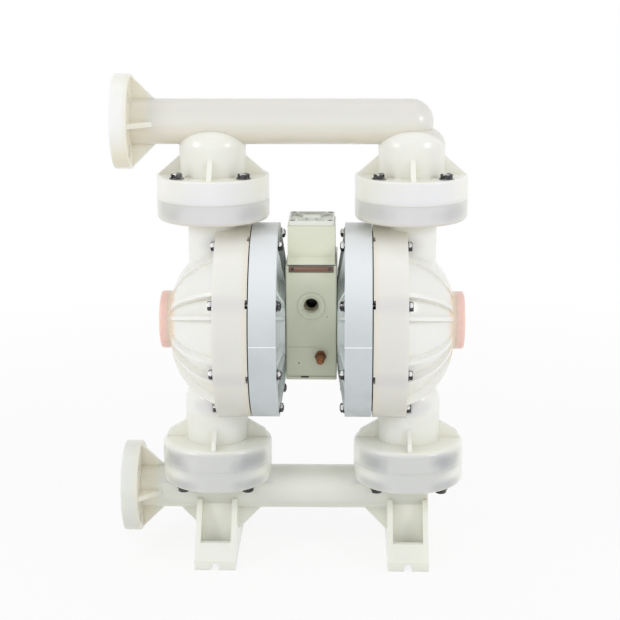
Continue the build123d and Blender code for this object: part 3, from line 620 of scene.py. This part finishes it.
# ---- fasteners ------------------------------------------------------------------------
CHAMBER_FLATS = 0.014        # 10 mm bolts and nuts of the chambers
CHAMBER_HEAD = 0.0075
CHAMBER_NUT = 0.007
CHAMBER_WASHER_R = 0.0095
CHAMBER_SHANK_R = 0.005
CHAMBER_END = 0.008          # bolt past its nut's seat
JOINT_FLATS = 0.017          # 12 mm bolts of the check valve joints
JOINT_HEAD = 0.0085
JOINT_WASHER_R = 0.012
JOINT_SHANK_R = 0.006
PORT_PITCH = 0.0018
DISCHARGE_BOLT = 0.0607      # shank lengths
SUCTION_BOLT = 0.0574


def add_chamber_fasteners():
    """Bolts through each pair of chamber flanges, with a nut on every one."""
    length = FLUID_BACK_X - AIR_BACK_X + CHAMBER_END
    bolt = turned(bolt_levels(CHAMBER_FLATS, CHAMBER_HEAD, CHAMBER_WASHER_R, CHAMBER_SHANK_R,
                              length))
    nut = turned(nut_levels(CHAMBER_FLATS, CHAMBER_NUT, CHAMBER_WASHER_R, CHAMBER_SHANK_R),
                 closed=True)
    points = circle(CHAMBER_BOLT_R, CHAMBER_BOLTS, math.pi / CHAMBER_BOLTS)
    for side, sign in SIDES.items():
        bolts = []
        nuts = []
        for i, (y, rise) in enumerate(points):
            turn = math.pi / 6 + 0.15 * math.sin(3.0 * i)
            bolts.append(seat(sign * FLUID_BACK_X, y, AXIS_Z + rise, (sign, 0, 0), turn))
            nuts.append(seat(sign * AIR_BACK_X, y, AXIS_Z + rise, (-sign, 0, 0), 0.7 * i))
        bolt_piece = add_pieces(f"flange_bolts_{side}", bolt, bolts, "stainless_steel")
        nut_piece = add_pieces(f"flange_nuts_{side}", nut, nuts, "stainless_steel")
        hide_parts(f"chamber_bolts_{side}")
        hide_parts(f"chamber_nuts_{side}")


def add_joint_fasteners():
    """Bolts of the four check valve joints."""
    joints = {"discharge": (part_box("discharge_joint_bolts")[1].z, 1, DISCHARGE_BOLT),
              "suction": (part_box("suction_joint_bolts")[0].z, -1, SUCTION_BOLT)}
    for joint, (head_z, up, length) in joints.items():
        bolt = turned(bolt_levels(JOINT_FLATS, JOINT_HEAD, JOINT_WASHER_R, JOINT_SHANK_R, length))
        places = []
        for side in SIDES.values():
            for i, (x, y) in enumerate(circle(JOINT_BOLT_R, 4, math.pi / 4)):
                z = head_z - up * JOINT_HEAD
                places.append(seat(side * PORT_X + x, y, z, (0, 0, up), 0.5 * i + side))
        piece = add_pieces(f"{joint}_bolts", bolt, places, "stainless_steel")
        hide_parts(f"{joint}_joint_bolts")


def add_port_threads():
    """Pipe threads inside the air inlet and the exhaust port of the centre block."""
    ports = {"inlet": (INLET_R, -0.0780, -0.0600, INLET_Z, -1),
             "exhaust": (EXHAUST_R, 0.0748, 0.0500, EXHAUST_Z, 1)}
    for port, (radius, mouth, end, z, out) in ports.items():
        depth = abs(mouth - end)
        ridges = thread(0.0, -depth, radius - 0.0002, 0.0008, PORT_PITCH)
        levels = [(0.0, radius - 0.0001)] + ridges + [(-depth, radius - 0.0001)]
        place = seat(0.0, mouth, z, (0, out, 0))
        add_pieces(f"{port}_thread", turned(levels, closed=True), [place], "cream_polypropylene")


add_chamber_fasteners()
add_joint_fasteners()
add_port_threads()


# ---- stage ----------------------------------------------------------------------------
LENS = 91.1
SENSOR = 36.0
CAMERA_PLACE = (0.0603, -2.5216, 1.0500)
CAMERA_PITCH = 0.2453
CAMERA_YAW = -0.0255
CAMERA_ROLL = -0.0027
WORLD_LIGHT = 0.68
FLOOR_HALF = 40.0
FLOOR_GAP = 0.0002           # floor below the feet
LAMPS = (("key", (-2.1, -1.4, 1.5), (0, 0, 0.4), 0.8, 15),      # place, aim, size and power
         ("fill", (2.0, -1.3, 1.4), (0, 0, 0.4), 0.7, 12),
         ("top", (0.1, 0.2, 2.6), (0, 0, 0.4), 1.6, 4),
         ("low", (-0.2, -2.6, 0.3), (0, 0, 0.3), 1.2, 1.5))


def camera_axes():
    """Right, up and backward axes of the camera."""
    ahead = Vector((math.sin(CAMERA_YAW) * math.cos(CAMERA_PITCH),
                    math.cos(CAMERA_YAW) * math.cos(CAMERA_PITCH), -math.sin(CAMERA_PITCH)))
    level = Vector((math.cos(CAMERA_YAW), -math.sin(CAMERA_YAW), 0.0))
    top = level.cross(ahead)
    turn = Matrix.Rotation(-CAMERA_ROLL, 3, ahead)
    return turn @ level, turn @ top, -ahead


def add_camera():
    data = bpy.data.cameras.new("camera")
    data.lens = LENS
    data.sensor_width = SENSOR
    camera = bpy.data.objects.new("camera", data)
    bpy.context.scene.collection.objects.link(camera)
    right, up, back = camera_axes()
    turn = Matrix((right, up, back)).transposed().to_4x4()
    camera.matrix_world = Matrix.Translation(CAMERA_PLACE) @ turn
    bpy.context.scene.camera = camera


def seen_rays(tree):
    """1 for rays that come from the camera, a mirror surface or a clear one."""
    path = tree.nodes.new("ShaderNodeLightPath")
    total = path.outputs["Is Camera Ray"]
    for name in ("Is Glossy Ray", "Is Transmission Ray"):
        both = tree.nodes.new("ShaderNodeMath")
        both.operation = "MAXIMUM"
        tree.links.new(total, both.inputs[0])
        tree.links.new(path.outputs[name], both.inputs[1])
        total = both.outputs[0]
    return total


def set_world(level):
    """White wherever it is seen, and a plain pale light elsewhere."""
    world = bpy.data.worlds.new("world")
    bpy.context.scene.world = world
    world.use_nodes = True
    tree = world.node_tree
    back = tree.nodes["Background"]
    back.inputs["Color"].default_value = (1.0, 1.0, 1.0, 1.0)
    strength = tree.nodes.new("ShaderNodeMapRange")
    tree.links.new(seen_rays(tree), strength.inputs["Value"])
    strength.inputs["To Min"].default_value = level
    strength.inputs["To Max"].default_value = 1.0
    tree.links.new(strength.outputs[0], back.inputs["Strength"])


def add_lamp(name, place, aim, size, power):
    data = bpy.data.lights.new(name, "AREA")
    data.size = size
    data.energy = power
    lamp = bpy.data.objects.new(name, data)
    bpy.context.scene.collection.objects.link(lamp)
    lamp.location = place
    lamp.rotation_euler = (Vector(aim) - Vector(place)).to_track_quat("-Z", "Y").to_euler()


def add_floor():
    """Floor that takes the soft shadow near the feet and fades to white further out."""
    data = bpy.data.meshes.new("floor")
    signs = ((-1, -1), (1, -1), (1, 1), (-1, 1))
    corners = [(FLOOR_HALF * a, FLOOR_HALF * b, 0) for a, b in signs]
    data.from_pydata(corners, [], [(0, 1, 2, 3)])
    floor = bpy.data.objects.new("floor", data)
    bpy.context.scene.collection.objects.link(floor)
    floor.location.z = -FLOOR_GAP
    material = bpy.data.materials.new("floor")
    material.use_nodes = True
    tree = material.node_tree
    shader = tree.nodes["Principled BSDF"]
    shader.inputs["Base Color"].default_value = (0.9, 0.9, 0.9, 1.0)
    shader.inputs["Roughness"].default_value = 0.9
    shader.inputs["Specular IOR Level"].default_value = 0.1
    white = tree.nodes.new("ShaderNodeEmission")
    place = tree.nodes.new("ShaderNodeTexCoord")
    length = tree.nodes.new("ShaderNodeVectorMath")
    length.operation = "LENGTH"
    tree.links.new(place.outputs["Object"], length.inputs[0])
    fade = tree.nodes.new("ShaderNodeMapRange")
    tree.links.new(length.outputs["Value"], fade.inputs["Value"])
    fade.inputs["From Min"].default_value = 0.6
    fade.inputs["From Max"].default_value = 2.0
    fade.inputs["To Min"].default_value = 0.85
    share = tree.nodes.new("ShaderNodeMath")
    share.operation = "MULTIPLY"
    tree.links.new(seen_rays(tree), share.inputs[0])
    tree.links.new(fade.outputs[0], share.inputs[1])
    blend = tree.nodes.new("ShaderNodeMixShader")
    tree.links.new(share.outputs[0], blend.inputs[0])
    tree.links.new(shader.outputs[0], blend.inputs[1])
    tree.links.new(white.outputs[0], blend.inputs[2])
    tree.links.new(blend.outputs[0], tree.nodes["Material Output"].inputs[0])
    data.materials.append(material)


add_camera()
add_floor()
set_world(WORLD_LIGHT)
for lamp in LAMPS:
    add_lamp(*lamp)
bpy.context.scene.view_settings.view_transform = "Standard"
